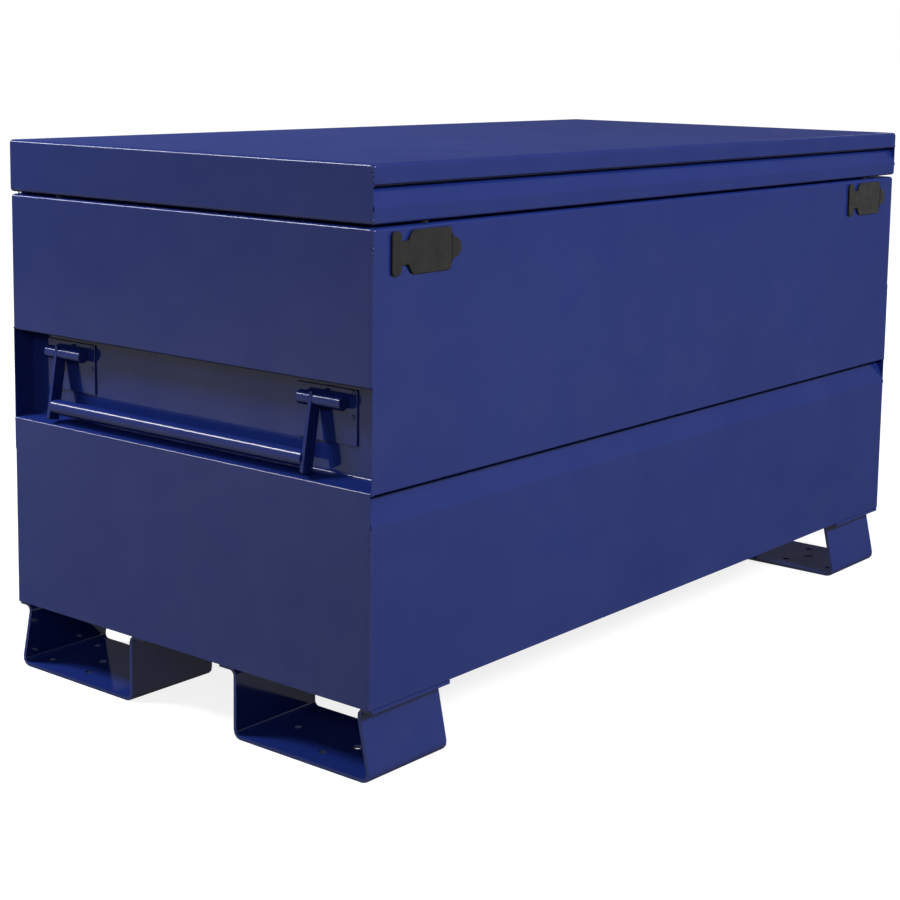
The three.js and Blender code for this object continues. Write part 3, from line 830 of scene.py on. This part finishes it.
def cover_places():
    """Places of the cross-sections: closer where the outline turns."""
    stops = [0, COVER_CORNER, COVER_STRIP - COVER_CORNER, COVER_STRIP, COVER_STRIP + COVER_STEP,
             COVER_SLOPE_FROM, COVER_PANEL_FROM, COVER_PANEL_TO, COVER_TAB_FROM - COVER_RIDGE_WIDTH,
             COVER_TAB_FROM, COVER_LENGTH]
    places = []
    for start, end in zip(stops, stops[1:]):
        count = 1 if end - start < COVER_SHORT else COVER_SECTIONS
        for step in range(count):
            share = step / count
            places.append(start + (end - start) * (1 - math.cos(math.pi * share)) / 2)
    return places + [COVER_LENGTH - COVER_LAST]


def cover_section(along, half, front, back, inset):
    """A rounded rectangle across the cover, seen along it."""
    edge = min(COVER_EDGE, half - inset)
    on_ridge = abs(along - COVER_TAB_FROM + COVER_RIDGE_WIDTH / 2) < COVER_RIDGE_WIDTH / 2
    front = front + (0 if on_ridge else COVER_RIDGE) + inset
    back = back - inset
    points = []
    for sign_v, face, sign_f in ((1, front, -1), (1, back, 1), (-1, back, 1), (-1, front, -1)):
        centre_v = sign_v * (half - inset - edge)
        centre_f = face - sign_f * edge
        quarter = []
        for step in range(EDGE_STEPS + 1):
            angle = math.pi / 2 * step / EDGE_STEPS
            quarter.append((centre_f + sign_f * edge * math.cos(angle),
                            centre_v + sign_v * edge * math.sin(angle)))
        points += quarter if (sign_v, sign_f) in ((1, -1), (-1, 1)) else quarter[::-1]
    return points


def make_covers():
    for side in ("left", "right"):
        strip_low, strip_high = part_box("lock_cover_" + side + "_strip")
        start = strip_low.x
        level = (strip_low.z + strip_high.z) / 2
        height = strip_high.z - strip_low.z
        points = []
        for along in cover_places():
            near_end = min(along, COVER_LENGTH - along)
            inset = 0
            if near_end < COVER_EDGE:
                inset = COVER_EDGE - round_share(COVER_EDGE - near_end, COVER_EDGE)
            half = max(cover_half(along, height), 2 * COVER_EDGE)
            for depth, v in cover_section(along, half, strip_low.y, strip_high.y, inset):
                points.append(Vector((start + along, depth, level + v)))
        count = 4 * (EDGE_STEPS + 1)
        rings = len(points) // count
        faces = ring_faces(count, rings) + end_faces(count, rings)
        obj = mesh_object("lock_cover_" + side, [(points, faces)])
        finish_surface(obj, "rubber")
        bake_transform(obj)
        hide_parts("lock_cover_" + side + "_strip", "lock_cover_" + side + "_flap")


# Weld spots: small uneven domes, half sunk where two sheets meet
def weld_spot(centre, radii, chance):
    points = []
    for ring in range(SPOT_RINGS + 1):
        polar = math.pi * ring / SPOT_RINGS
        for side in range(SPOT_SIDES):
            angle = 2 * math.pi * side / SPOT_SIDES
            reach = chance.uniform(*SPOT_UNEVEN)
            points.append(Vector((
                centre[0] + radii[0] * reach * math.sin(polar) * math.cos(angle),
                centre[1] + radii[1] * reach * math.sin(polar) * math.sin(angle),
                centre[2] + radii[2] * math.cos(polar),
            )))
    return points, ring_faces(SPOT_SIDES, SPOT_RINGS + 1)


def corner_spots(corners, top, places, chance):
    """Spots down the corners where an end is welded on. The two ends are alike, half a turn
    apart."""
    skin = CORNER * (1 - math.sqrt(0.5))
    radii = (SPOT, SPOT, SPOT * SPOT_TALL)
    return [
        weld_spot((x + x_in * skin, y + y_in * skin, top - below), radii, chance)
        for x, x_in, y, y_in in corners for below in places
    ]


def make_welds():
    chance = random.Random(SPOT_SEED)
    plate_radii = tuple(SPOT * part for part in PLATE_SPOT)
    lid_corners = ((LID_LEFT, 1, LID_FRONT, 1), (LID_RIGHT, -1, LID_REAR, -1))
    lid_spots = corner_spots(lid_corners, LID_TOP, LID_SPOTS, chance)
    new_piece("lid_weld_spots", lid_spots, "lid", "enamel")
    body_corners = ((LEFT, 1, FRONT, 1), (RIGHT, -1, REAR, -1))
    spots = corner_spots(body_corners, TOP, BODY_SPOTS, chance)
    for side in ("left", "right"):
        for where in ("front", "rear"):
            low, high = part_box("handle_" + side + "_" + where + "_plate")
            pivot_low, pivot_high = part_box("handle_" + side + "_" + where + "_pivot")
            x = high.x if side == "right" else low.x
            y = pivot_low.y - SPOT_PAST if side == "left" else pivot_high.y + SPOT_PAST
            level = (pivot_low.z + pivot_high.z) / 2
            for z in (level - SPOT_BELOW, level + SPOT_ABOVE):
                spots.append(weld_spot((x, y, z), plate_radii, chance))
    new_piece("weld_spots", spots, "root", "enamel")


# Every node of the frame that still shows gets its slot's finish and rounded edges
def rounding_of(name):
    for start, rounding in EDGE_ROUNDING.items():
        if name.startswith(start):
            return rounding
    return PLAIN_ROUNDING


def make_kept_nodes():
    slots = {row["node"]: row["material_slot"] for row in frame["record"]["subparts"]}
    for name, obj in frame["nodes"].items():
        if not obj.hide_render:
            finish_surface(obj, slots[name], rounding_of(name))


# Floor, light and background
def light_path_mix(tree, plain, white):
    """Plain to light, white to the camera, in reflections and through glass."""
    path = tree.nodes.new("ShaderNodeLightPath")
    any_of = path.outputs["Is Camera Ray"]
    for name in ("Is Glossy Ray", "Is Transmission Ray"):
        larger = tree.nodes.new("ShaderNodeMath")
        larger.operation = "MAXIMUM"
        tree.links.new(any_of, larger.inputs[0])
        tree.links.new(path.outputs[name], larger.inputs[1])
        any_of = larger.outputs[0]
    mix = tree.nodes.new("ShaderNodeMixShader")
    tree.links.new(any_of, mix.inputs["Fac"])
    tree.links.new(plain, mix.inputs[1])
    tree.links.new(white, mix.inputs[2])
    return mix.outputs["Shader"]


def make_world():
    world = bpy.data.worlds.new("studio")
    world.use_nodes = True
    tree = world.node_tree
    plain = tree.nodes["Background"]
    plain.inputs["Color"].default_value = (1, 1, 1, 1)
    plain.inputs["Strength"].default_value = SKY_FILL
    white = tree.nodes.new("ShaderNodeBackground")
    white.inputs["Color"].default_value = (1, 1, 1, 1)
    white.inputs["Strength"].default_value = 1
    mixed = light_path_mix(tree, plain.outputs[0], white.outputs[0])
    tree.links.new(mixed, tree.nodes["World Output"].inputs["Surface"])
    scene.world = world


def make_floor():
    made = bpy.data.materials.new("floor")
    made.use_nodes = True
    tree = made.node_tree
    tree.nodes.remove(tree.nodes["Principled BSDF"])
    plain = tree.nodes.new("ShaderNodeBsdfDiffuse")
    plain.inputs["Color"].default_value = (*[FLOOR_COLOUR] * 3, 1)
    glow = tree.nodes.new("ShaderNodeEmission")
    place = tree.nodes.new("ShaderNodeTexCoord")
    distance = tree.nodes.new("ShaderNodeVectorMath")
    distance.operation = "LENGTH"
    tree.links.new(place.outputs["Object"], distance.inputs[0])
    tree.links.new(remap(made, distance.outputs["Value"], FLOOR_GLOW_FROM, FLOOR_GLOW),
                   glow.inputs["Strength"])
    shade = tree.nodes.new("ShaderNodeBsdfDiffuse")
    shade.inputs["Color"].default_value = (*[FLOOR_SHADOW_SHARE] * 3, 1)
    bright = tree.nodes.new("ShaderNodeAddShader")
    tree.links.new(glow.outputs[0], bright.inputs[0])
    tree.links.new(shade.outputs[0], bright.inputs[1])
    mixed = light_path_mix(tree, plain.outputs[0], bright.outputs[0])
    tree.links.new(mixed, tree.nodes["Material Output"].inputs["Surface"])
    work = bmesh.new()
    bmesh.ops.create_grid(
        work, x_segments=FLOOR_SQUARES, y_segments=FLOOR_SQUARES, size=FLOOR_REACH)
    mesh = bpy.data.meshes.new("floor")
    work.to_mesh(mesh)
    work.free()
    floor = bpy.data.objects.new("floor", mesh)
    floor.data.materials.append(made)
    scene.collection.objects.link(floor)


def area_light(name, place, target, size, power):
    data = bpy.data.lights.new(name, "AREA")
    data.shape = "RECTANGLE"
    data.size, data.size_y = size
    data.energy = power
    light = bpy.data.objects.new(name, data)
    aim = (Vector(target) - Vector(place)).to_track_quat("-Z", "Y")
    light.matrix_world = Matrix.Translation(place) @ aim.to_matrix().to_4x4()
    light.visible_camera = False
    scene.collection.objects.link(light)


def make_lights():
    for lamp in LAMPS:
        area_light(*lamp)


make_camera()
make_body()
make_lid()
make_handles()
make_covers()
make_welds()
make_kept_nodes()
make_world()
make_floor()
make_lights()
scene.view_settings.view_transform = "Standard"
